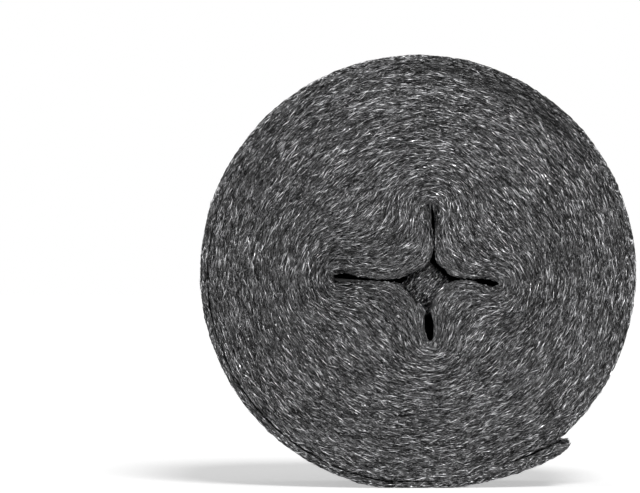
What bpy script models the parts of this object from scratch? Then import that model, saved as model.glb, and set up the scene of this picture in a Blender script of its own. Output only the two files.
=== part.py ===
"""A roll of steel wool ribbon that stands on its rim, with its core pushed in from four sides.

The ribbon is one long strip. It starts as a small scroll in the middle, runs round a cross of four
slits, gets rounder turn by turn, and ends in a loose tail under the roll. X points right, Y away from
the viewer and Z up, in metres. The origin is the middle of the flat spot that the roll stands on.
"""

import math

import bpy
import numpy as np

# Driving dimensions, in metres.
ROLL_DIAMETER = 0.200
RIBBON_WIDTH = 0.080
WHOLE_TURNS = 17
OUTER_PITCH = 0.0043
TURN_GAP = 0.0005
FLAT_SPOT = 0.028
EDGE_CROWN = 0.0011
EDGE_CROWN_SHARE = 0.3

# The four slits, each by its direction in degrees, its length from the middle of the star, half its
# width at the tip, how fast it narrows towards the star (1 is a plain wedge, 0 is not at all), and how
# far its middle is bent sideways.
STAR_OFFSET = (0.0060, -0.0037)
SLITS = (
    (-2.5, 0.0311, 0.0012, 0.90, 0.0016),
    (89.2, 0.0340, 0.0010, 0.90, -0.0015),
    (176.9, 0.0423, 0.0013, 0.90, 0.0012),
    (269.1, 0.0281, 0.0019, 0.25, -0.0014),
)
BEND_REACH = 0.014

# The pushed-in lobes between the slits: how round they are, how fast the turns outside them get
# rounder, and how much they differ from pair to pair and from corner to corner. The sharpest one's
# direction is in degrees.
LOBE_ROUNDING = 0.0049
LOBE_SPREAD = 0.15
LOBE_PAIRS = 0.20
LOBE_CORNERS = 0.26
SHARPEST_CORNER = 45.0

# The scroll that the ribbon starts with, round a hole of radius SCROLL_HOLE. It lies a little below the
# middle of the star and behind the faces of the roll. The ribbon passes over from the scroll to the
# star's wall within SCROLL_EXIT of a turn, three quarters of it before the first turn starts, which is
# in the direction START_ANGLE. It is torn thin there: the first turn starts at THIN_START of the later
# thickness, over THIN_START_TURNS.
SCROLL_TURNS = 1.2
SCROLL_HOLE = 0.00025
SCROLL_RADIUS = 0.0053
SCROLL_THICKNESS = 0.0024
SCROLL_DROP = 0.0022
SCROLL_RECESS = 0.0080
SCROLL_EXIT = 0.16
EXIT_BEFORE_START = 0.75
THIN_START = 0.35
THIN_START_TURNS = 0.05
START_ANGLE = 225.0

# The loose tail, in degrees round the roll from its lowest point. The ribbon is squeezed thin under the
# roll, comes loose and swells again in the tail, lifts off and gets thinner at its end: each of these is
# a share of the tail's angle.
TAIL_ANGLE = 42.0
TAIL_LIFT = 0.0075
TAIL_THICKNESS = 0.0056
TIP_THICKNESS = 0.0038
BOTTOM_THICKNESS = 0.0033
COMING_LOOSE = 0.15
LIFT_START = 0.2
LIFT_POWER = 1.6
SWELLING = 0.6
TIP_START = 0.8

# How the turns close up to the rim: the line that they follow comes in by most of a pitch on its way
# round to the flat spot, and steps out again over this share of a turn above the tail.
BOTTOM_PITCH = 0.35 * OUTER_PITCH
STEP_OUT = 0.045
OUTLINE_TURNS = 0.08

# How far the turns' edges fall back behind the faces: at the slits, at the rim, and unevenly.
SLIT_EDGE = 0.0020
SLIT_EDGE_TURNS = 0.8
RIM_EDGE = 0.0015
RIM_EDGE_TURNS = 2.5
UNEVENNESS = 0.0005
UNEVEN_RATE = 2.4

# How finely the ribbon is divided: more steps near the slits, and twice as many along the tail. Each
# turn is looked for at RADIUS_SAMPLES points of a ray from the star, out to SEARCH_RADIUS. Where a turn
# runs nearly along the ray, by its slope over twice SLANT_STEP in radians, its gap is widened along the
# ray, at most MOST_SLANT times.
STEPS_PER_LOBE = 13
STEP_CROWDING = 1.6
FINE_TAIL_TURNS = 0.16
SLANT_STEP = 0.002
MOST_SLANT = 4.0
RADIUS_SAMPLES = 900
SEARCH_RADIUS = 0.58 * ROLL_DIAMETER

RADIUS = ROLL_DIAMETER / 2
AXIS_HEIGHT = math.sqrt(RADIUS**2 - (FLAT_SPOT / 2) ** 2)
TAIL_END = TAIL_ANGLE - 90.0
TURNS = WHOLE_TURNS + (TAIL_END % 360.0 - START_ANGLE) / 360.0
BOTTOM_SHARE = 1.0 - TAIL_ANGLE / 360.0


def smooth(value):
    """A smooth step from 0 to 1."""
    value = np.clip(value, 0.0, 1.0)
    return value * value * (3.0 - 2.0 * value)


def blend(first, second, share):
    return first * (1.0 - share) + second * share


def ray_angle(turn):
    """Angle round the star in radians after so many turns, with the steps crowded near the slits."""
    turn = turn + START_ANGLE / 360.0
    whole = np.floor(turn)
    quarter = (turn - whole) * len(SLITS)
    lobe = np.minimum(quarter.astype(int), len(SLITS) - 1)
    share = quarter - lobe
    near = 0.5 * (2.0 * np.minimum(share, 1.0 - share)) ** STEP_CROWDING
    share = np.where(share < 0.5, near, 1.0 - near)
    directions = np.array([slit[0] for slit in SLITS] + [SLITS[0][0] + 360.0])
    angle = directions[lobe] + share * (directions[lobe + 1] - directions[lobe])
    return np.radians(angle + 360.0 * whole)


def beside_slit(x, z, direction):
    """Distances along and across a slit, from the middle of the star."""
    turned = math.radians(direction)
    along = x * math.cos(turned) + z * math.sin(turned)
    across = z * math.cos(turned) - x * math.sin(turned)
    return along, across


def slit_distance(angle, radius):
    """Distance outside the four slits, blended where two of them are near so that the lobes are round."""
    x = radius * np.cos(angle)
    z = radius * np.sin(angle)
    distances = []
    for direction, length, half_width, narrowing, _ in SLITS:
        along, across = beside_slit(x, z, direction)
        straight = length - half_width
        nearest = np.clip(along, 0.0, straight)
        width = half_width * (nearest / straight) ** narrowing
        distances.append(np.hypot(along - nearest, across) - width)
    corner = np.cos(angle - math.radians(SHARPEST_CORNER))
    lopsided = 1.0 + LOBE_PAIRS * np.sin(2.0 * angle) - LOBE_CORNERS * corner
    least = np.minimum.reduce(distances)
    rounding = LOBE_ROUNDING * lopsided + LOBE_SPREAD * np.maximum(least, 0.0)
    return least - rounding * np.log(sum(np.exp((least - each) / rounding) for each in distances))


def bend_slits(x, z):
    """Moves points sideways beside each slit, most at its middle, so that it lies in a slight arc."""
    moved_x = x
    moved_z = z
    for direction, length, _, _, bend in SLITS:
        along, across = beside_slit(x, z, direction)
        share = np.clip(along / length, 0.0, 1.0)
        middle = (4.0 * share * (1.0 - share)) ** 2
        sideways = bend * middle * np.exp(-((across / BEND_REACH) ** 2))
        moved_x = moved_x - sideways * math.sin(math.radians(direction))
        moved_z = moved_z + sideways * math.cos(math.radians(direction))
    return moved_x, moved_z


def place(angle, radius):
    """X and Z, from the roll's axis, of a point given by its angle and distance from the star's middle."""
    x, z = bend_slits(radius * np.cos(angle), radius * np.sin(angle))
    return STAR_OFFSET[0] + x, STAR_OFFSET[1] + z


def tail_share(x, z):
    """How far round the roll a point is, from 0 just past the tail's end to 1 at the tail's end."""
    around = np.degrees(np.arctan2(z, x)) - TAIL_END
    return (around % 360.0) / 360.0


def ray_to_level(depth, falling):
    """Length of a ray down to a level this far below its start, endless if the ray doesn't fall."""
    endless = np.full_like(falling, np.inf)
    return np.divide(depth, falling, out=endless, where=falling > 0.0)


def rim_distance(angle, radius):
    """Distance inside the line that the turns close up to: the rim, less the flat spot, and stepped
    out by one turn over the tail so that the outside of the last turn is a true circle."""
    x, z = place(angle, radius)
    share = tail_share(x, z)
    spiral = OUTER_PITCH - (OUTER_PITCH - BOTTOM_PITCH) * share / BOTTOM_SHARE
    over_tail = smooth((share - 1.0 + STEP_OUT) / STEP_OUT)
    rim = RADIUS + blend(spiral, OUTER_PITCH, over_tail)
    from_axis = np.hypot(x, z)
    floor = ray_to_level(AXIS_HEIGHT + BOTTOM_PITCH, -z / from_axis)
    return np.minimum(rim, floor) - from_axis


def turn_radius(angle, level):
    """Distance from the middle of the star to a turn. Level 0 is the slits' wall and 1 the rim."""
    radii = np.linspace(0.0, SEARCH_RADIUS, RADIUS_SAMPLES)
    rays, steps = np.meshgrid(angle, radii, indexing="ij")
    from_slits = slit_distance(rays, steps)
    to_rim = rim_distance(rays, steps)
    at_rim = np.argmin(np.abs(to_rim), axis=1)
    rim_weight = from_slits[np.arange(len(angle)), at_rim] / (OUTER_PITCH * TURNS)
    height = from_slits - level[:, None] * (from_slits + rim_weight[:, None] * to_rim)
    height = np.maximum.accumulate(height, axis=1) + 1e-9 * np.arange(RADIUS_SAMPLES)
    return np.array([np.interp(0.0, row, radii) for row in height])


def circle_radius(angle, circle):
    """Distance from the middle of the star to a circle round the roll's axis, of one radius or many."""
    towards = STAR_OFFSET[0] * np.cos(angle) + STAR_OFFSET[1] * np.sin(angle)
    offset = STAR_OFFSET[0] ** 2 + STAR_OFFSET[1] ** 2
    return np.sqrt(towards**2 - offset + circle**2) - towards


def outline_radius(angle):
    """Distance from the middle of the star to the roll's outside: the circle, cut by the flat spot."""
    floor = ray_to_level(AXIS_HEIGHT + STAR_OFFSET[1], -np.sin(angle))
    return np.minimum(circle_radius(angle, RADIUS), floor)


def turns_wound(turn):
    """How many thicknesses of ribbon lie between the star's wall and this turn's outside."""
    turn = np.maximum(turn, 0.0)
    first = np.maximum(1.0 - turn, 0.0)
    return turn + THIN_START * first**2 * smooth(turn / THIN_START_TURNS)


def gap_beside(angle, level):
    """Half of the gap between two turns, measured along the ray: longer where the turn runs along it."""
    before = turn_radius(angle - SLANT_STEP, level)
    after = turn_radius(angle + SLANT_STEP, level)
    slope = (after - before) / (SLANT_STEP * (before + after))
    return TURN_GAP / 2 * np.minimum(np.hypot(1.0, slope), MOST_SLANT)


def tail_faces(angle, share):
    """The tail's faces. It is round like the roll at first, and then lifts off by a power law."""
    lifted = np.maximum(share - LIFT_START, 0.0) / (1.0 - LIFT_START)
    lifted_circle = circle_radius(angle, RADIUS + TAIL_LIFT * lifted**LIFT_POWER)
    outer = np.maximum(lifted_circle, outline_radius(angle))
    outer = np.where(lifted > 0.0, outer, outline_radius(angle))
    thick = blend(BOTTOM_THICKNESS, TAIL_THICKNESS, smooth(share / SWELLING))
    thick = blend(thick, TIP_THICKNESS, smooth((share - TIP_START) / (1.0 - TIP_START)))
    return outer - thick + TURN_GAP / 2, outer


def on_wall(turn):
    """0 in the scroll, 1 once the ribbon lies on the star's wall."""
    return smooth(EXIT_BEFORE_START + turn / SCROLL_EXIT)


def ribbon_faces(turn):
    """Distances from the middle of the star to the ribbon's inner and outer face, turn by turn."""
    angle = ray_angle(turn)
    inner_level = turns_wound(turn - 1.0) / TURNS
    outer_level = turns_wound(turn) / TURNS
    inner = turn_radius(angle, inner_level) + gap_beside(angle, inner_level)
    outer = turn_radius(angle, outer_level) - gap_beside(angle, outer_level)

    last_turn = turn - (TURNS - 1.0)
    outer = blend(outer, outline_radius(angle), smooth(last_turn / OUTLINE_TURNS))
    x, z = place(angle, circle_radius(angle, RADIUS))
    past_bottom = (tail_share(x, z) - BOTTOM_SHARE) / (1.0 - BOTTOM_SHARE)
    past_bottom = np.where(last_turn > 0.5, np.clip(past_bottom, 0.0, 1.0), 0.0)
    tail_inner, tail_outer = tail_faces(angle, past_bottom)
    inner = blend(inner, tail_inner, smooth(past_bottom / COMING_LOOSE))
    outer = np.where(past_bottom > 0.0, tail_outer, outer)

    rolled_up = np.clip(turn + SCROLL_TURNS, 0.0, None) / SCROLL_TURNS
    scroll_outer = blend(SCROLL_HOLE + SCROLL_THICKNESS, SCROLL_RADIUS, rolled_up)
    scroll_inner = scroll_outer - SCROLL_THICKNESS
    inner = blend(scroll_inner, inner, on_wall(turn))
    outer = blend(scroll_outer, outer, on_wall(turn))
    return angle, inner, outer


def ribbon_ends(turn):
    """How far the ribbon's two edges lie behind the roll's front and back faces."""
    scroll = SCROLL_RECESS * (1.0 - on_wall(turn))
    slit_edge = SLIT_EDGE * np.exp(-np.maximum(turn, 0.0) / SLIT_EDGE_TURNS)
    rim_edge = RIM_EDGE * smooth((turn - TURNS + RIM_EDGE_TURNS) / RIM_EDGE_TURNS)
    uneven = UNEVENNESS * (1.0 + np.sin(UNEVEN_RATE * turn) * np.cos(2.0 * math.pi * turn))
    return scroll + slit_edge + rim_edge + uneven


def ribbon_sections():
    """One six-sided cross-section of the ribbon for each step along it, as an array of points."""
    steps_per_turn = STEPS_PER_LOBE * len(SLITS)
    first = -round(SCROLL_TURNS * steps_per_turn)
    steps = np.arange(first, math.floor(TURNS * steps_per_turn)) / steps_per_turn
    half_step = 0.5 / steps_per_turn
    on_tail = TURNS - FINE_TAIL_TURNS
    tail = np.arange(on_tail, TURNS, half_step)
    turn = np.concatenate([steps[steps < on_tail - half_step], tail, [TURNS]])

    angle, inner, outer = ribbon_faces(turn)
    middle = (inner + outer) / 2
    crown = np.minimum(EDGE_CROWN, EDGE_CROWN_SHARE * (outer - inner))
    crest = RIBBON_WIDTH / 2 - ribbon_ends(turn)
    edge = crest - crown
    drop = SCROLL_DROP * (1.0 - on_wall(turn))
    front = ((inner, -edge), (middle, -crest), (outer, -edge))
    back = ((outer, edge), (middle, crest), (inner, edge))
    corners = front + back
    sections = np.empty((len(turn), len(corners), 3))
    for corner, (radius, y) in enumerate(corners):
        x, z = place(angle, radius)
        sections[:, corner] = np.stack([x, y, z + AXIS_HEIGHT - drop], axis=1)
    sections[:, :, 2] = np.maximum(sections[:, :, 2], 0.0)
    return sections


def loft(name, sections):
    """A closed mesh through the sections, with a face over each end."""
    count, corners = sections.shape[:2]
    faces = [list(reversed(range(corners)))]
    for section in range(count - 1):
        start = section * corners
        for corner in range(corners):
            following = (corner + 1) % corners
            faces.append(
                [start + corner, start + following, start + corners + following, start + corners + corner]
            )
    faces.append([(count - 1) * corners + corner for corner in range(corners)])
    mesh = bpy.data.meshes.new(name)
    mesh.from_pydata(sections.reshape(-1, 3).tolist(), [], faces)
    mesh.validate()
    return mesh


def steel_wool():
    """Fine steel fibre, dark grey and half dull because the fibres shade one another."""
    material = bpy.data.materials.new("steel_wool")
    material.use_nodes = True
    shader = material.node_tree.nodes["Principled BSDF"]
    shader.inputs["Base Color"].default_value = (0.095, 0.095, 0.097, 1.0)
    shader.inputs["Metallic"].default_value = 0.6
    shader.inputs["Roughness"].default_value = 0.55
    return material


def main():
    for obj in list(bpy.data.objects):
        bpy.data.objects.remove(obj, do_unlink=True)
    collection = bpy.data.collections.new("steel_wool_roll")
    bpy.context.scene.collection.children.link(collection)
    mesh = loft("wool_roll", ribbon_sections())
    mesh.materials.append(steel_wool())
    mesh.shade_smooth()
    mesh.set_sharp_from_angle(angle=math.radians(35.0))
    collection.objects.link(bpy.data.objects.new("wool_roll", mesh))


main()
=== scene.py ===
"""Looks of a roll of steel wool that stands on its rim, with its core pushed in from four sides."""

import math

import bpy
import numpy as np
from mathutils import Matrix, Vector


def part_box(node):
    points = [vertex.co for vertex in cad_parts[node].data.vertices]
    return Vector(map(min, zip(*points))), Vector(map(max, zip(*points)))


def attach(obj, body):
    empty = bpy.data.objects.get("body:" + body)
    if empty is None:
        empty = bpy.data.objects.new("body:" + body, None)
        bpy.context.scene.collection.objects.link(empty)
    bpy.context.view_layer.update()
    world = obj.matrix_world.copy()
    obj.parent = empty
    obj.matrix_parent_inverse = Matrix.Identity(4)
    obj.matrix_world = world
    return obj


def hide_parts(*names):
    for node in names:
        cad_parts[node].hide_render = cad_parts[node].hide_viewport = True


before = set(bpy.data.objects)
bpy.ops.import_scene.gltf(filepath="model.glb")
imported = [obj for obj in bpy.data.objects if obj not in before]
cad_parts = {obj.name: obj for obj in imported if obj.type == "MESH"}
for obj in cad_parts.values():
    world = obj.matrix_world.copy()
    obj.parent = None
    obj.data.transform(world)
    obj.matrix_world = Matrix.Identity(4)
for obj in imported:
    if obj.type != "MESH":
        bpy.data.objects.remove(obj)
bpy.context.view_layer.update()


# Face of the roll: the edges of the wound ribbon, seen end on.
# One ribbon of steel wool felt runs round a cross of four slits, turn by turn, out to the rim.
# Nothing holds the turns but their own springy fibres, which cross from one turn to the next.
low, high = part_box("wool_roll")
RADIUS = (high.x - low.x) / 2
HALF_WIDTH = (high.y - low.y) / 2
AXIS_HEIGHT = high.z - RADIUS
WHOLE_TURNS = 17
OUTER_PITCH = 0.0043
START_ANGLE = 225.0
TAIL_ANGLE = 42.0
TAIL_END = TAIL_ANGLE - 90.0
TURNS = WHOLE_TURNS + (TAIL_END % 360.0 - START_ANGLE) / 360.0
BOTTOM_SHARE = 1.0 - TAIL_ANGLE / 360.0
BOTTOM_PITCH = 0.35
STEP_OUT = 0.045
STEP_CROWDING = 1.6
THIN_START = 0.35
THIN_START_TURNS = 0.05

# The star's middle from the roll's axis, then each slit's direction in degrees, length, half width,
# power of its narrowing and sideways bend.
STAR = (0.0060, -0.0037)
SLITS = (
    (-2.5, 0.0311, 0.0012, 0.90, 0.0016),
    (89.2, 0.0340, 0.0010, 0.90, -0.0015),
    (176.9, 0.0423, 0.0013, 0.90, 0.0012),
    (269.1, 0.0281, 0.0019, 0.25, -0.0014),
)
SLIT_START = 0.0005
BEND_REACH = 0.014
LOBE_ROUNDING = 0.0049
LOBE_SPREAD = 0.15
LOBE_PAIRS = 0.20
LOBE_CORNERS = 0.26

# For each slit, the half width of its pressed part, and the half width and length of the hole at its tip.
SLIT_HOLES = (
    (0.0003, 0.0023, 0.0110),
    (0.0003, 0.0026, 0.0090),
    (0.0003, 0.0028, 0.0090),
    (0.0005, 0.0020, 0.0120),
)
PRESS_START = 0.006
PRESS_FADE = 0.010
PRESS_END_FADE = 0.002
PRESS_REACH = 0.0028

# Direction in degrees and distance of a swelling from the star's middle, its push towards that middle
# and its reach.
WALL_PUSHES = (
    (176.9, 0.0400, -0.0034, 0.0065),
    (89.2, 0.0320, -0.0024, 0.0060),
    (226.0, 0.0150, 0.0040, 0.0100),
    (49.6, 0.0101, 0.0019, 0.0070),
    (299.5, 0.0088, 0.0022, 0.0065),
)

COLUMNS = 720
LEVELS = np.linspace(-0.04, 1.02, 213)
RAY_RADII = np.linspace(0.0002, 1.15 * RADIUS, 900)


def smooth(value):
    """Three squares less two cubes of the value, held between 0 and 1."""
    value = np.clip(value, 0.0, 1.0)
    return value * value * (3.0 - 2.0 * value)


def blend(first, second, share):
    """The first value at share 0, the second at share 1, and a straight line between them."""
    return first * (1.0 - share) + second * share


def grain(along, across, seed):
    """Random numbers on the corners of unit squares, joined by smooth steps both ways, from -1 to 1."""
    count = 256
    corners = np.random.default_rng(seed).uniform(-1.0, 1.0, (count, count))
    column = np.floor(along).astype(int)
    row = np.floor(across).astype(int)
    right = smooth(along - column)
    up = smooth(across - row)
    first = blend(corners[row % count, column % count], corners[row % count, (column + 1) % count], right)
    second_row = (row + 1) % count
    second = blend(corners[second_row, column % count], corners[second_row, (column + 1) % count], right)
    return blend(first, second, up)


def ray_angle(turn):
    """Angle round the star after so many turns, in radians. In each quarter between two slits the angle
    grows with the power STEP_CROWDING of the distance from the nearer slit, so points crowd there."""
    turn = turn + START_ANGLE / 360.0
    whole = np.floor(turn)
    quarter = (turn - whole) * 4.0
    lobe = np.minimum(quarter.astype(int), 3)
    share = quarter - lobe
    near = 0.5 * (2.0 * np.minimum(share, 1.0 - share)) ** STEP_CROWDING
    share = np.where(share < 0.5, near, 1.0 - near)
    directions = np.array([slit[0] for slit in SLITS] + [SLITS[0][0] + 360.0])
    angle = directions[lobe] + share * (directions[lobe + 1] - directions[lobe])
    return np.radians(angle + 360.0 * whole)


def beside_slit(x, z, direction):
    """Distances along and across a slit of this direction, from the star's middle."""
    turned = math.radians(direction)
    return x * math.cos(turned) + z * math.sin(turned), z * math.cos(turned) - x * math.sin(turned)


def wedge_width(along, straight, half_width, narrowing):
    """Half the width of a plain slit: a power of the distance from the star's middle."""
    return half_width * (np.clip(along, SLIT_START, straight) / straight) ** narrowing


def slit_distance(x, z):
    """Smooth minimum of the distances to the four tapered slits: less the rounding times the logarithm
    of the sum of exponentials of each distance over the rounding. x and z start at the star's middle."""
    angle = np.arctan2(z, x)
    distances = []
    for direction, length, half_width, narrowing, bend in SLITS:
        along, across = beside_slit(x, z, direction)
        straight = length - half_width
        nearest = np.clip(along, 0.0, straight)
        width = wedge_width(nearest, straight, half_width, narrowing)
        distances.append(np.hypot(along - nearest, across) - width)
    lopsided = 1.0 + LOBE_PAIRS * np.sin(2.0 * angle) - LOBE_CORNERS * np.cos(angle - math.pi / 4)
    least = np.minimum.reduce(distances)
    rounding = LOBE_ROUNDING * lopsided + LOBE_SPREAD * np.maximum(least, 0.0)
    return least - rounding * np.log(sum(np.exp((least - each) / rounding) for each in distances))


def rim_distance(x, z):
    """Distance inside the line that the turns close up to: a circle and the flat spot, which steps out
    by one turn over the tail. x and z start at the star's middle."""
    x = x + STAR[0]
    z = z + STAR[1]
    share = ((np.degrees(np.arctan2(z, x)) - TAIL_END) % 360.0) / 360.0
    before_step = 1.0 - (1.0 - BOTTOM_PITCH) * share / BOTTOM_SHARE
    step = blend(before_step, 1.0, smooth((share - 1.0 + STEP_OUT) / STEP_OUT))
    sunk = np.maximum(-z / np.hypot(x, z), 0.2)
    floor_radius = (AXIS_HEIGHT + OUTER_PITCH * BOTTOM_PITCH) / sunk
    return np.minimum(RADIUS + OUTER_PITCH * step, floor_radius) - np.hypot(x, z)


def turn_table():
    """Radius of every level (rows) in every direction (columns). A level is the slit distance over the
    sum of the slit distance and the weighted rim distance, so it is 0 at the slits and 1 at the rim."""
    angle = ray_angle(np.arange(COLUMNS) / COLUMNS)
    x = RAY_RADII * np.cos(angle)[:, None]
    z = RAY_RADII * np.sin(angle)[:, None]
    from_slits = slit_distance(x, z)
    to_rim = rim_distance(x, z)
    at_rim = np.argmin(np.abs(to_rim), axis=1)
    weight = from_slits[np.arange(COLUMNS), at_rim] / (OUTER_PITCH * TURNS)
    level = from_slits / np.maximum(from_slits + weight[:, None] * to_rim, 0.001)
    level = np.maximum.accumulate(level, axis=1) + 1e-9 * np.arange(len(RAY_RADII))
    table = np.stack([np.interp(LEVELS, row, RAY_RADII) for row in level], axis=1)
    return np.hstack([table, table[:, :1]])


TURN_RADII = turn_table()


def turn_point(turn, level):
    """X and Z, from the star's middle, of a level after so many turns, before the slits are pressed: read
    from the table of radii by straight lines between its rows and columns."""
    row = np.clip((level - LEVELS[0]) / (LEVELS[1] - LEVELS[0]), 0.0, len(LEVELS) - 1.001)
    column = (turn % 1.0) * COLUMNS
    i = row.astype(int)
    j = np.minimum(column.astype(int), COLUMNS - 1)
    lower = blend(TURN_RADII[i, j], TURN_RADII[i, j + 1], column - j)
    upper = blend(TURN_RADII[i + 1, j], TURN_RADII[i + 1, j + 1], column - j)
    radius = blend(lower, upper, row - i)
    angle = ray_angle(turn)
    return radius * np.cos(angle), radius * np.sin(angle)


def outer_level(turn):
    """The ribbon's outer face, as a share of all turns. The ribbon starts thin, on the wall of the star."""
    turn = np.maximum(turn, 0.0)
    first = np.maximum(1.0 - turn, 0.0)
    return (turn + THIN_START * first**2 * smooth(turn / THIN_START_TURNS)) / TURNS


def inner_level(turn):
    """Each turn lies on the outer face of the turn before it."""
    return outer_level(turn - 1.0)


def press_slits(x, z):
    """Bends each slit sideways by a bump, and presses its walls together but for an oval hole at its tip:
    the distance across is scaled at the walls, and less and less away from them by a bell curve. Last,
    parts of the wall swell towards the star's middle, or away from it, by a bell curve each."""
    shift_x = 0.0
    shift_z = 0.0
    for (direction, length, half_width, narrowing, bend), (neck, hole, hole_length) in zip(SLITS, SLIT_HOLES):
        along, across = beside_slit(x, z, direction)
        share = np.clip(along / length, 0.0, 1.0)
        bent = bend * (4.0 * share * (1.0 - share)) ** 2 * np.exp(-((across / BEND_REACH) ** 2))
        oval = 1.0 - ((along - length) / (0.5 * hole_length) + 1.0) ** 2
        target = np.maximum(neck, hole * np.sqrt(np.maximum(oval, 0.0)))
        width = wedge_width(along, length - half_width, half_width, narrowing)
        after_tip = smooth((along - length) / PRESS_END_FADE)
        reach = smooth((along - PRESS_START) / PRESS_FADE) * (1.0 - after_tip)
        bell = np.exp(-((across / (PRESS_REACH + width)) ** 2))
        pressed = across * (target / width - 1.0) * bell * reach
        turned = math.radians(direction)
        shift_x = shift_x - math.sin(turned) * (bent + pressed)
        shift_z = shift_z + math.cos(turned) * (bent + pressed)
    for direction, distance, push, spread in WALL_PUSHES:
        turned = math.radians(direction)
        away = np.hypot(x - distance * math.cos(turned), z - distance * math.sin(turned))
        inwards = push * np.exp(-((away / spread) ** 2))
        shift_x = shift_x - math.cos(turned) * inwards
        shift_z = shift_z - math.sin(turned) * inwards
    return x + shift_x, z + shift_z


FACE_RECESS = 0.0009
HOLLOW_DEPTH = 0.0006
HOLLOW_SIZE = 0.019
GROOVE_LEAST = 0.0001
GROOVE_PATCHES = 0.0009
PATCH_SIZE = 0.013
LUMP_HEIGHT = 0.00015
LUMP_SIZE = 0.0026
FAR_FACE_SHIFT = 7.0
SLIT_ROUNDING = 0.0009
SHOULDER = 0.0010
SHOULDER_TURNS = 3.0
UPPER_RIGHT_SHOULDER = 0.0022
UPPER_RIGHT = math.radians(60.0)
UPPER_RIGHT_REACH = 0.5


def upper_right_share(angle):
    """A bell curve of the angle, in radians, that is 1 at the upper right of the roll."""
    return np.exp(-(((angle - UPPER_RIGHT) / UPPER_RIGHT_REACH) ** 2))


def face_recess(turn, across, x, z, side):
    """How far the ribbon's edge lies behind the roll's end plane: patchy grooves between the turns, a
    quarter round at the slits, a shoulder at the rim, and slow hollows. x and z start at the star's
    middle, and side keeps the two faces from being alike."""
    shift = FAR_FACE_SHIFT * side
    hollows = HOLLOW_DEPTH * grain(x / HOLLOW_SIZE + shift, z / HOLLOW_SIZE, 3)
    patchy = smooth(0.2 + 0.9 * grain(x / PATCH_SIZE + shift, z / PATCH_SIZE, 4))
    edge = np.abs(2.0 * across - 1.0)
    groove = (GROOVE_LEAST + GROOVE_PATCHES * patchy) * edge**6
    lumps = LUMP_HEIGHT * grain(x / LUMP_SIZE + shift, z / LUMP_SIZE, 5)
    depth = np.maximum(slit_distance(x, z), 0.0)
    inside = np.clip(1.0 - depth / SLIT_ROUNDING, 0.0, 1.0)
    slit_edge = SLIT_ROUNDING * (1.0 - np.sqrt(1.0 - inside**2))
    rim_share = smooth((turn + across - TURNS - 1.0 + SHOULDER_TURNS) / SHOULDER_TURNS) ** 2
    rim_edge = (SHOULDER + UPPER_RIGHT_SHOULDER * upper_right_share(np.arctan2(z, x))) * rim_share
    return FACE_RECESS + groove + lumps + hollows + slit_edge + rim_edge


def from_star(x, y, z):
    """Points of the roll, from x and z that start at the star's middle."""
    return np.stack([x + STAR[0], y, z + STAR[1] + AXIS_HEIGHT], axis=-1)


def pairs(first, second):
    """Two grids, or a row and a column, as one grid of pairs."""
    return np.stack(np.broadcast_arrays(first, second), axis=-1)


def surface_mesh(name, points, uv_maps, flip=False):
    """A mesh of quads over a grid of points, rows by columns by three. Each UV map is a grid of pairs."""
    rows, columns = points.shape[:2]
    index = np.arange(rows * columns).reshape(rows, columns)
    quads = np.stack([index[:-1, :-1], index[:-1, 1:], index[1:, 1:], index[1:, :-1]], axis=-1)
    if flip:
        quads = quads[..., ::-1]
    quads = quads.reshape(-1, 4)
    mesh = bpy.data.meshes.new(name)
    mesh.vertices.add(rows * columns)
    mesh.vertices.foreach_set("co", points.astype(np.float32).ravel())
    mesh.loops.add(quads.size)
    mesh.loops.foreach_set("vertex_index", quads.astype(np.int32).ravel())
    mesh.polygons.add(len(quads))
    mesh.polygons.foreach_set("loop_start", np.arange(0, quads.size, 4, dtype=np.int32))
    mesh.update(calc_edges=True)
    for uv_name, grid in uv_maps.items():
        layer = mesh.uv_layers.new(name=uv_name)
        layer.data.foreach_set("uv", grid.reshape(-1, 2)[quads.ravel()].astype(np.float32).ravel())
    mesh.shade_smooth()
    mesh.validate()
    return mesh


def add_piece(name, mesh, materials):
    """The mesh as an object at the origin that stands for the wool of the roll."""
    for material in materials:
        mesh.materials.append(material)
    piece = bpy.data.objects.new(name, mesh)
    bpy.context.scene.collection.objects.link(piece)
    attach(piece, "root")
    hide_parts("wool_roll")


# Streaks of the felt: their length and width, their turn from the winding in degrees, the noise's
# detail and its offset.
LEFT_STREAKS = (0.0009, 0.00024, 15.0, 2.0, 0.0)
RIGHT_STREAKS = (0.0008, 0.00024, -13.0, 2.0, 5.0)
STRANDS = (0.0060, 0.0004, 2.0, 1.0, 7.0)
STRAND_SHARE = 0.4
# Colours of the streaks: the felt's own pattern, with painted shade in the dark gaps between strands and
# painted glints on the brightest streaks.
FELT_GAPS_AND_PAINTED_SHADE = (0.025, 0.025, 0.025, 1.0)
FELT_MIDDLE = (0.12, 0.12, 0.122, 1.0)
FELT_STREAKS_AND_PAINTED_GLINTS = (0.50, 0.50, 0.51, 1.0)


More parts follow.
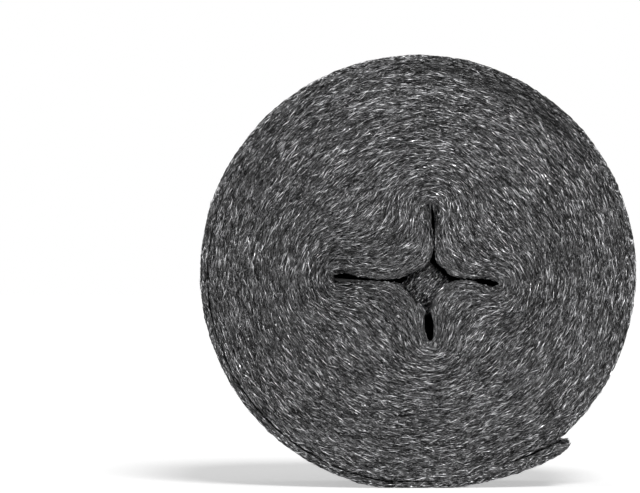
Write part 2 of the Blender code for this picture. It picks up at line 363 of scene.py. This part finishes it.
def wool_material(name):
    """Fine steel fibre: dark grey metal with crossing streaks along the winding, stretched from noise on the
    Winding map, whose first axis runs along the ribbon and whose second runs across it, in metres. The
    streaks are the felt's own pattern, with painted glints on the brightest ones and painted shade in the
    dark gaps."""
    material = bpy.data.materials.new(name)
    material.use_nodes = True
    nodes = material.node_tree.nodes
    links = material.node_tree.links
    shader = nodes["Principled BSDF"]
    winding = nodes.new("ShaderNodeUVMap")
    winding.uv_map = "Winding"

    def streaks(along, across, degrees, detail, offset):
        turned = nodes.new("ShaderNodeMapping")
        turned.inputs["Rotation"].default_value = (0.0, 0.0, math.radians(degrees))
        stretch = nodes.new("ShaderNodeMapping")
        stretch.inputs["Scale"].default_value = (1.0 / along, 1.0 / across, 1.0)
        stretch.inputs["Location"].default_value = (offset, offset, offset)
        noise = nodes.new("ShaderNodeTexNoise")
        noise.inputs["Scale"].default_value = 1.0
        noise.inputs["Detail"].default_value = detail
        noise.inputs["Roughness"].default_value = 0.6
        links.new(winding.outputs["UV"], turned.inputs["Vector"])
        links.new(turned.outputs["Vector"], stretch.inputs["Vector"])
        links.new(stretch.outputs["Vector"], noise.inputs["Vector"])
        return noise.outputs["Fac"]

    def combine(operation, first, second):
        node = nodes.new("ShaderNodeMath")
        node.operation = operation
        for socket, value in zip(node.inputs, (first, second)):
            if isinstance(value, float):
                socket.default_value = value
            else:
                links.new(value, socket)
        return node.outputs["Value"]

    crossed = combine("MAXIMUM", streaks(*LEFT_STREAKS), streaks(*RIGHT_STREAKS))
    strands = combine("MULTIPLY", streaks(*STRANDS), STRAND_SHARE)
    height = combine("ADD", combine("MULTIPLY", crossed, 1.0 - STRAND_SHARE), strands)
    ramp = nodes.new("ShaderNodeValToRGB")
    ramp.color_ramp.elements[0].position = 0.47
    ramp.color_ramp.elements[0].color = FELT_GAPS_AND_PAINTED_SHADE
    ramp.color_ramp.elements[1].position = 0.68
    ramp.color_ramp.elements[1].color = FELT_STREAKS_AND_PAINTED_GLINTS
    middle = ramp.color_ramp.elements.new(0.56)
    middle.color = FELT_MIDDLE
    links.new(height, ramp.inputs["Fac"])
    links.new(ramp.outputs["Color"], shader.inputs["Base Color"])
    bump = nodes.new("ShaderNodeBump")
    bump.inputs["Strength"].default_value = 0.8
    bump.inputs["Distance"].default_value = 0.0006
    links.new(height, bump.inputs["Height"])
    links.new(bump.outputs["Normal"], shader.inputs["Normal"])
    shader.inputs["Metallic"].default_value = 0.55
    shader.inputs["Roughness"].default_value = 0.5
    return material


wool = wool_material("felted_steel_wool")
FIRST_TURN = 0.03
FACE_TURNS = TURNS - 1.0


def face_of_roll(side, steps, rows):
    """The ribbon's edges as one long strip of quads that follows the spiral. side is -1 for the face
    towards the viewer and 1 for the far face."""
    count = int((FACE_TURNS - FIRST_TURN) * steps) + 1
    turn = np.repeat((FIRST_TURN + np.arange(count) / steps)[:, None], rows + 1, axis=1)
    across = np.repeat(np.linspace(0.0, 1.0, rows + 1)[None, :], count, axis=0)
    x, z = turn_point(turn, blend(inner_level(turn), outer_level(turn), across))
    y = side * (HALF_WIDTH - face_recess(turn, across, x, z, side))
    x, z = press_slits(x, z)
    points = from_star(x, y, z)
    middle = points[:, rows // 2]
    run = np.concatenate([[0.0], np.cumsum(np.linalg.norm(np.diff(middle, axis=0), axis=1))])[:, None]
    flat = pairs(0.5 + 0.48 * points[..., 0] / RADIUS, 0.02 + 0.48 * points[..., 2] / RADIUS)
    return points, {"OFBake": flat, "Winding": pairs(run, (turn + across) * OUTER_PITCH)}


front_points, maps = face_of_roll(-1.0, 400, 7)
add_piece("front_turns", surface_mesh("front_turns", front_points, maps), [wool])
back_points, maps = face_of_roll(1.0, 200, 4)
add_piece("back_turns", surface_mesh("back_turns", back_points, maps, flip=True), [wool])


# Outermost turn and its loose tail.
# The same ribbon, shown whole for its last turn: its outer side is the rim of the roll.
# It lies loosely on the turn below, is pressed thin under the roll, and its cut end lifts off as a tail.
OUTLINE_TURNS = 0.08
TURN_GAP = 0.0006
LOOSE_GAP = 0.0004
LOOSE_START = 0.5
LOOSE_TURNS = 0.2
BOTTOM_THICKNESS = 0.0033
COMING_LOOSE = 0.15
SWELLING = 0.6
LIFT_START = 0.2
LIFT_POWER = 1.6
TAIL_LIFT = 0.0075
TAIL_THICKNESS = 0.0056
TIP_THICKNESS = 0.0038
TIP_START = 0.88
FRAYED_TURNS = 0.003
TIP_ROUNDING_TURNS = 0.006
TIP_SHOULDER = 0.0012
RIM_ROUNDING = 0.0024
RIM_ROUNDING_START = 0.35
RIM_SINK = 0.0002


def circle_radius(angle, circle):
    """Distance from the star's middle to a circle round the axis: the root of a quadratic equation."""
    towards = STAR[0] * np.cos(angle) + STAR[1] * np.sin(angle)
    return np.sqrt(towards**2 - STAR[0] ** 2 - STAR[1] ** 2 + circle**2) - towards


def outline_radius(angle):
    """Distance from the star's middle to the outside of the roll: the circle, cut by the flat spot."""
    sunk = np.maximum(-np.sin(angle), 0.01)
    return np.minimum(circle_radius(angle, RADIUS), (AXIS_HEIGHT + STAR[1]) / sunk)


def ribbon_radii(turn):
    """Distances from the star's middle to the ribbon's inner and outer face. Both are levels of the
    table, but the outside of the last turn is the outline, and the tail lifts off it by a power law."""
    angle = ray_angle(turn)
    inner = np.hypot(*turn_point(turn, inner_level(turn)))
    outer = np.hypot(*turn_point(turn, outer_level(turn)))
    last_turn = turn - (TURNS - 1.0)
    loose = 0.5 * TURN_GAP + LOOSE_GAP * smooth((last_turn - LOOSE_START) / LOOSE_TURNS)
    outer = blend(outer, outline_radius(angle), smooth(last_turn / OUTLINE_TURNS))
    circle = circle_radius(angle, RADIUS)
    around = np.degrees(np.arctan2(circle * np.sin(angle) + STAR[1], circle * np.cos(angle) + STAR[0]))
    share = ((around - TAIL_END) % 360.0) / 360.0
    past_bottom = np.clip((share - BOTTOM_SHARE) / (1.0 - BOTTOM_SHARE), 0.0, 1.0)
    past_bottom = np.where(last_turn > 0.5, past_bottom, 0.0)
    lifted = np.maximum(past_bottom - LIFT_START, 0.0) / (1.0 - LIFT_START)
    tail = np.maximum(circle_radius(angle, RADIUS + TAIL_LIFT * lifted**LIFT_POWER), outline_radius(angle))
    thick = blend(BOTTOM_THICKNESS, TAIL_THICKNESS, smooth(past_bottom / SWELLING))
    thick = blend(thick, TIP_THICKNESS, smooth((past_bottom - TIP_START) / (1.0 - TIP_START)))
    outer = np.where(past_bottom > LIFT_START, tail, outer)
    inner = blend(inner + loose, outer - thick + TURN_GAP / 2, smooth(past_bottom / COMING_LOOSE))
    return angle, inner, outer


def outer_turn(first, steps, edge_rows, rim_rows, under_rows):
    """The ribbon as a closed strip, its section carried along the spiral: over the front edge from the
    inner to the outer face, back along the rim, over the far edge and back along the inner face."""
    turn = np.linspace(first, TURNS + FRAYED_TURNS, steps)
    angle, inner, outer = ribbon_radii(turn)
    to_edge = 1.0 - np.linspace(1.0, 0.0, edge_rows) ** 1.5
    along_rim = np.linspace(-1.0, 1.0, rim_rows + 2)[1:-1]
    along_inside = np.linspace(1.0, -1.0, under_rows + 2)[1:-1]
    across = np.concatenate([to_edge, np.ones(rim_rows), to_edge[::-1], np.zeros(under_rows)])
    width = np.concatenate([-np.ones(edge_rows), along_rim, np.ones(edge_rows), along_inside])
    tip = np.sqrt(np.clip((turn[-1] - turn) / TIP_ROUNDING_TURNS, 0.0, 1.0))[:, None]
    across = 0.5 + (across - 0.5) * tip
    radius = inner[:, None] + (outer - inner)[:, None] * across
    x = radius * np.cos(angle)[:, None]
    z = radius * np.sin(angle)[:, None]
    rounded = np.clip((across - RIM_ROUNDING_START) / (1.0 - RIM_ROUNDING_START), 0.0, 1.0)
    shoulder = RIM_ROUNDING * (1.0 - np.sqrt(1.0 - rounded**2)) + TIP_SHOULDER * (1.0 - tip)
    y = width * (HALF_WIDTH - face_recess(turn[:, None], across, x, z, np.sign(width)) - shoulder)
    run = np.concatenate([[0.0], np.cumsum(np.hypot(np.diff(x[:, 0]), np.diff(z[:, 0])))])[:, None]
    lumps = 0.0004 * grain(run / 0.012 + 0.0 * y, y / 0.010, 11) + 0.0002 * grain(run / 0.004, y / 0.0015, 12)
    push = np.where((across > 0.9) & (np.abs(width) < 1.0), lumps - RIM_SINK, 0.0)
    points = from_star(x + push * np.cos(angle)[:, None], y, z + push * np.sin(angle)[:, None])
    points[..., 2] = np.maximum(points[..., 2], 0.0)
    closed = np.concatenate([points, points[:, :1]], axis=1)
    girth = np.cumsum(np.linalg.norm(np.diff(closed, axis=1), axis=2), axis=1)
    girth = np.concatenate([np.zeros((steps, 1)), girth], axis=1)
    around = np.linspace(0.0, 1.0, closed.shape[1])[None, :]
    flat = 0.01 + 0.98 * pairs(run / run[-1], around)
    return closed, {"OFBake": flat, "Winding": pairs(run, girth + 0.3)}


EDGE_ROWS = 8
RIM_ROWS = 40
rim_points, maps = outer_turn(TURNS - 1.02, 560, EDGE_ROWS, RIM_ROWS, 8)
add_piece("outer_turn", surface_mesh("outer_turn", rim_points, maps), [wool])


# Pushed-in core: the wall of the star and its four slits.
# The innermost turn's inner side, bent over the slits. Deeper in, its soft walls swell until they meet,
# so no light comes through.
CORE_SWELL = 0.0030
SWELL_START = 0.014
SWELL_FADE = 0.012


def core_wall(steps, depths):
    """A wall from face to face along the first turn, whose ends meet the edges of that turn. Its level
    sinks with depth by a smooth step, from the inner side of the first turn to a small star."""
    turn = np.linspace(0.0, 1.0, steps)[:, None] + np.zeros((1, depths))
    down = np.linspace(-1.0, 1.0, depths)[None, :]
    down = np.sign(down) * np.abs(down) ** 0.5
    depth = HALF_WIDTH * (1.0 - np.abs(down))
    swell = CORE_SWELL * smooth((depth - SWELL_START) / SWELL_FADE)
    edge_x, edge_z = turn_point(turn, 0.0 * turn)
    y = down * (HALF_WIDTH - face_recess(turn, 0.0, edge_x, edge_z, np.sign(down)))
    x, z = press_slits(*turn_point(turn, 0.0 * turn - swell / (OUTER_PITCH * TURNS)))
    flat = 0.01 + pairs(0.98 * turn, 0.49 * (down + 1.0))
    return from_star(x, y, z), {"OFBake": flat}


# The core wall's near-black colour without gloss is painted shade: the deep slits and the core lie in shadow.
painted_shade_wool = bpy.data.materials.new("painted_shade_steel_wool")
painted_shade_wool.use_nodes = True
shader = painted_shade_wool.node_tree.nodes["Principled BSDF"]
shader.inputs["Base Color"].default_value = (0.014, 0.014, 0.014, 1.0)
shader.inputs["Specular IOR Level"].default_value = 0.0
shader.inputs["Roughness"].default_value = 1.0
core_points, maps = core_wall(480, 30)
add_piece("core_wall", surface_mesh("core_wall", core_points, maps, flip=True), [painted_shade_wool])


# Wad of wool inside the star.
# The inner end of the ribbon, curled up on itself and left behind in the core. It shows a few
# millimetres back from the face, lit in the middle and dark round its edges.
WAD_RADIUS = 0.0095
WAD_RECESS = 0.0030
WAD_MIDDLE = (-0.0021, -0.0027)
WAD_SLANT = 48.0
WAD_FALL = 62.0
WAD_LUMPS = 0.0010


def wad(side):
    """A dome on a square grid whose rows run along the strands, at WAD_SLANT. It falls back with the
    square of the distance from its middle."""
    across, along = np.meshgrid(np.linspace(-1.0, 1.0, 40), np.linspace(-1.0, 1.0, 40))
    slant = math.radians(WAD_SLANT)
    x = WAD_RADIUS * (along * math.cos(slant) - across * math.sin(slant))
    z = WAD_RADIUS * (along * math.sin(slant) + across * math.cos(slant))
    lumps = WAD_LUMPS * grain(4.0 * along + 9.0, 9.0 * across + 9.0, 21)
    y = side * (HALF_WIDTH - WAD_RECESS - WAD_FALL * (x**2 + z**2) + lumps)
    flat = 0.5 + 0.48 * pairs(along, across)
    maps = {"OFBake": flat, "Winding": WAD_RADIUS * pairs(along, across)}
    return from_star(x + WAD_MIDDLE[0], y, z + WAD_MIDDLE[1]), maps


front_wad, maps = wad(-1.0)
add_piece("front_wad", surface_mesh("front_wad", front_wad, maps, flip=True), [wool])
back_wad, maps = wad(1.0)
add_piece("back_wad", surface_mesh("back_wad", back_wad, maps), [wool])


# Loose fibres of the wool.
# Shaved steel strands, a few tenths of a millimetre wide, that lie on the felt and cross it at small
# angles. They are held by friction only, with both ends tucked in.
FIBRE_TONES = (0.012, 0.05, 0.14, 0.34, 0.70, 0.95)
FIBRE_SHARES = (0.26, 0.21, 0.16, 0.14, 0.13, 0.10)
FIBRE_FACES = np.array([(0, 2, 3), (1, 3, 2), (0, 1, 2), (1, 0, 3)])
FIBRE_TILT = 0.04
FIBRE_LIFT = (-0.0001, 0.0003)
FIBRE_BOW = (0.04, 0.16)
FIBRE_ROLL = 0.6
CALM_REACH = 0.0040
CALMEST = 0.35
SHORTEST_SHARE = 0.6
MOST_PROUD = 0.0012
TONE_PATCHES = 0.05
TONE_PATCH_SIZE = 0.011
# Painted shade at the upper right of the rim: from this distance from the axis on, fibres get darker tones.
RIM_BAND_PAINTED_SHADE = 0.25
PAINTED_SHADE_BAND_START = 0.086
PAINTED_SHADE_BAND_FADE = 0.008


def fibre_material(tone):
    """Bare steel of one tone, from dark to light. Fibres differ in tone at random, and by painted light and
    painted shade where fibre_tones picks each tone.
    """
    material = bpy.data.materials.new(f"steel_fibre_{round(1000 * tone)}")
    material.use_nodes = True
    shader = material.node_tree.nodes["Principled BSDF"]
    shader.inputs["Base Color"].default_value = (tone, tone, 1.02 * tone, 1.0)
    shader.inputs["Metallic"].default_value = 0.85
    shader.inputs["Roughness"].default_value = 0.30
    return material


fibre_materials = [fibre_material(tone) for tone in FIBRE_TONES]


def unit(vectors):
    """The vectors over their lengths."""
    return vectors / np.maximum(np.linalg.norm(vectors, axis=-1, keepdims=True), 1e-12)


def scatter(grid, count, outwards, random):
    """Random places on a grid of points, evenly by area, with the grid's row direction and its normal."""
    corner = grid[:-1, :-1].reshape(-1, 3)
    along = (grid[1:, :-1] - grid[:-1, :-1]).reshape(-1, 3)
    across = (grid[:-1, 1:] - grid[:-1, :-1]).reshape(-1, 3)
    far = (grid[1:, 1:] - grid[:-1, :-1]).reshape(-1, 3) - along - across
    cross = np.cross(across - along, across + along + far)
    area = np.linalg.norm(cross, axis=1)
    chosen = random.choice(len(area), count, p=area / area.sum())
    u, v = random.uniform(0.0, 1.0, (2, count, 1))
    place = corner[chosen] + u * along[chosen] + v * across[chosen] + u * v * far[chosen]
    return place, unit(along[chosen]), outwards * unit(cross[chosen])


def fibre_points(place, along, normal, lengths, widths, jitter, random):
    """Each fibre's place, moved a little along the normal, and its four points: its two ends, and the two
    ends of a short edge across its middle that is bowed outwards. It lies along the grid's rows, turned
    by a random angle, smaller by the slits."""
    count = len(place)
    side = np.cross(normal, along)
    x, _, z = (place - from_star(0.0, 0.0, 0.0)).T
    calm = CALMEST + (1.0 - CALMEST) * smooth(slit_distance(x, z) / CALM_REACH)[:, None]
    turned = random.normal(0.0, math.radians(jitter), (count, 1)) * calm
    tilt = random.normal(0.0, FIBRE_TILT, (count, 1))
    forward = unit(along * np.cos(turned) + side * np.sin(turned) + normal * tilt)
    side = np.cross(normal, forward)
    reach = 0.5 * random.uniform(*lengths, (count, 1)) * forward * np.maximum(calm, SHORTEST_SHARE)
    half_width = 0.5 * random.uniform(*widths, (count, 1))
    place = place + normal * random.uniform(*FIBRE_LIFT, (count, 1))
    bow = np.linalg.norm(reach, axis=1, keepdims=True) * random.uniform(*FIBRE_BOW, (count, 1))
    roll = random.normal(0.0, FIBRE_ROLL, (count, 1))
    edge = half_width * (side * np.cos(roll) + normal * np.sin(roll))
    crest = place + 0.6 * bow * normal
    foot = place - 0.4 * bow * normal
    points = np.stack([foot - reach, foot + reach, crest - edge, crest + edge], axis=1)
    points[..., 1] = np.clip(points[..., 1], -HALF_WIDTH - MOST_PROUD, HALF_WIDTH + MOST_PROUD)
    points[..., 2] = np.maximum(points[..., 2], 0.0)
    return place, points


def fibre_tones(place, random):
    """Number of each fibre's tone: a random number, looked up in the running total of the shares. Random
    patches raise or lower it. Painted light raises it towards the top and lowers it towards the left, and
    painted shade lowers it in a band at the upper right of the rim."""
    x, y, z = place.T
    patches = TONE_PATCHES * grain(x / TONE_PATCH_SIZE + y / TONE_PATCH_SIZE, z / TONE_PATCH_SIZE, 41)
    around = np.arctan2(z - AXIS_HEIGHT, x)
    # Painted light: lighter tones towards the top, darker towards the left.
    painted_light_side = 0.015 * np.sin(around) + 0.025 * np.cos(around) - 0.03 * np.cos(2.0 * around)
    # Painted shade in a band at the upper right of the rim.
    at_rim = smooth((np.hypot(x, z - AXIS_HEIGHT) - PAINTED_SHADE_BAND_START) / PAINTED_SHADE_BAND_FADE)
    shade = patches + painted_light_side - RIM_BAND_PAINTED_SHADE * at_rim * upper_right_share(around)
    level = np.clip(random.uniform(0.0, 1.0, len(place)) + shade, 0.0, 0.999)
    return np.searchsorted(np.cumsum(FIBRE_SHARES)[:-1], level)


def fibre_mesh(name, points, tones):
    """A mesh of slivers, each with four triangles of one tone over its four points."""
    count = len(points)
    triangles = 4 * np.arange(count)[:, None, None] + FIBRE_FACES[None]
    mesh = bpy.data.meshes.new(name)
    mesh.vertices.add(count * 4)
    mesh.vertices.foreach_set("co", points.astype(np.float32).ravel())
    mesh.loops.add(triangles.size)
    mesh.loops.foreach_set("vertex_index", triangles.astype(np.int32).ravel())
    mesh.polygons.add(count * len(FIBRE_FACES))
    mesh.polygons.foreach_set("loop_start", np.arange(0, triangles.size, 3, dtype=np.int32))
    mesh.polygons.foreach_set("material_index", np.repeat(tones, len(FIBRE_FACES)).astype(np.int32))
    mesh.update(calc_edges=True)
    return mesh


rim_front = rim_points[:-4, :EDGE_ROWS]
rim_back = rim_points[:-4, EDGE_ROWS + RIM_ROWS : 2 * EDGE_ROWS + RIM_ROWS]
rim_side = rim_points[:-8, EDGE_ROWS - 1 : EDGE_ROWS + RIM_ROWS + 1]
tail_tip = rim_points[-14:]

# Name, grid of points, 1 or -1 where the grid's normal points outwards or inwards, number of fibres,
# ranges of their length and width, and spread of their angle in degrees.
FIBRES = (
    ("front_fibres_1", front_points, 1.0, 49000, (0.0012, 0.0034), (0.00015, 0.00026), 15.0),
    ("front_fibres_2", front_points, 1.0, 49000, (0.0012, 0.0034), (0.00015, 0.00026), 15.0),
    ("front_long_fibres", front_points, 1.0, 14000, (0.0060, 0.0120), (0.00018, 0.00028), 11.0),
    ("edge_fibres", rim_front, 1.0, 6000, (0.0020, 0.0055), (0.00022, 0.00042), 17.0),
    ("back_edge_fibres", rim_back, 1.0, 4500, (0.0025, 0.0070), (0.00035, 0.00060), 17.0),
    ("rim_fibres", rim_side, 1.0, 30000, (0.0040, 0.0120), (0.00035, 0.00060), 18.0),
    ("tip_fibres", tail_tip, 1.0, 900, (0.0020, 0.0035), (0.00030, 0.00055), 25.0),
    ("back_fibres", back_points, -1.0, 34000, (0.0030, 0.0090), (0.00035, 0.00060), 18.0),
    ("front_wad_fibres", front_wad, -1.0, 2600, (0.0025, 0.0065), (0.00022, 0.00040), 12.0),
    ("back_wad_fibres", back_wad, 1.0, 500, (0.0020, 0.0050), (0.00035, 0.00060), 14.0),
)
FIRST_SEED = 39

for seed, (name, grid, outwards, count, lengths, widths, jitter) in enumerate(FIBRES, FIRST_SEED):
    random = np.random.default_rng(seed)
    place, along, normal = scatter(grid, count, outwards, random)
    place, points = fibre_points(place, along, normal, lengths, widths, jitter, random)
    add_piece(name, fibre_mesh(name, points, fibre_tones(place, random)), fibre_materials)


# Floor, light and camera of a plain product photograph.
# The floor and the surroundings are white, a large soft lamp stands at the upper right, and a long lens
# looks level at the face of the roll from a little above its middle.
SHOWN_WIDTH = 0.2944
CAMERA_PLACE = (0.024, -HALF_WIDTH - 2.4, 0.115)
PICTURE_MIDDLE = (-0.045, 0.1112)
LIGHT_FROM = (0.20, -0.74, 0.64)
FLOOR_GLOW = 0.45
ROOM_LIGHT = 0.24


def seen_rays(nodes, links):
    """1 for the rays that show the surroundings to the camera, straight or by way of bare metal or glass."""
    path = nodes.new("ShaderNodeLightPath")
    shown = path.outputs["Is Camera Ray"]
    for kind in ("Is Glossy Ray", "Is Transmission Ray"):
        either = nodes.new("ShaderNodeMath")
        either.operation = "MAXIMUM"
        links.new(shown, either.inputs[0])
        links.new(path.outputs[kind], either.inputs[1])
        shown = either.outputs["Value"]
    return shown


bpy.ops.mesh.primitive_plane_add(size=16.0, location=(0.0, 0.0, 0.0))
floor = bpy.context.object
floor.name = "floor"
pale = bpy.data.materials.new("white_floor")
pale.use_nodes = True
nodes = pale.node_tree.nodes
links = pale.node_tree.links
nodes.remove(nodes["Principled BSDF"])
diffuse = nodes.new("ShaderNodeBsdfDiffuse")
diffuse.inputs["Color"].default_value = (0.95, 0.95, 0.95, 1.0)
glow = nodes.new("ShaderNodeEmission")
both = nodes.new("ShaderNodeAddShader")
seen = nodes.new("ShaderNodeMath")
seen.operation = "MULTIPLY"
seen.inputs[1].default_value = FLOOR_GLOW
links.new(seen_rays(nodes, links), seen.inputs[0])
links.new(seen.outputs["Value"], glow.inputs["Strength"])
links.new(diffuse.outputs["BSDF"], both.inputs[0])
links.new(glow.outputs["Emission"], both.inputs[1])
links.new(both.outputs["Shader"], nodes["Material Output"].inputs["Surface"])
floor.data.materials.append(pale)

world = bpy.data.worlds.new("soft_room")
bpy.context.scene.world = world
world.use_nodes = True
nodes = world.node_tree.nodes
links = world.node_tree.links
room = nodes["Background"]
room.inputs["Color"].default_value = (1.0, 1.0, 1.0, 1.0)
level = nodes.new("ShaderNodeMapRange")
level.inputs["To Min"].default_value = ROOM_LIGHT
level.inputs["To Max"].default_value = 1.0
links.new(seen_rays(nodes, links), level.inputs["Value"])
links.new(level.outputs["Result"], room.inputs["Strength"])

light = bpy.data.lights.new("upper_right", "SUN")
light.energy = 2.0
light.angle = math.radians(18.0)
lamp = bpy.data.objects.new("upper_right", light)
lamp.rotation_euler = Vector(LIGHT_FROM).to_track_quat("Z", "Y").to_euler()
bpy.context.scene.collection.objects.link(lamp)

camera_data = bpy.data.cameras.new("camera")
camera = bpy.data.objects.new("camera", camera_data)
bpy.context.scene.collection.objects.link(camera)
camera_distance = -HALF_WIDTH - CAMERA_PLACE[1]
camera_data.lens = camera_data.sensor_width * camera_distance / SHOWN_WIDTH
camera_data.shift_x = (PICTURE_MIDDLE[0] - CAMERA_PLACE[0]) / SHOWN_WIDTH
camera_data.shift_y = (PICTURE_MIDDLE[1] - CAMERA_PLACE[2]) / SHOWN_WIDTH
camera.location = CAMERA_PLACE
camera.rotation_euler = (math.pi / 2, 0.0, 0.0)
bpy.context.scene.camera = camera
bpy.context.scene.view_settings.view_transform = "Standard"
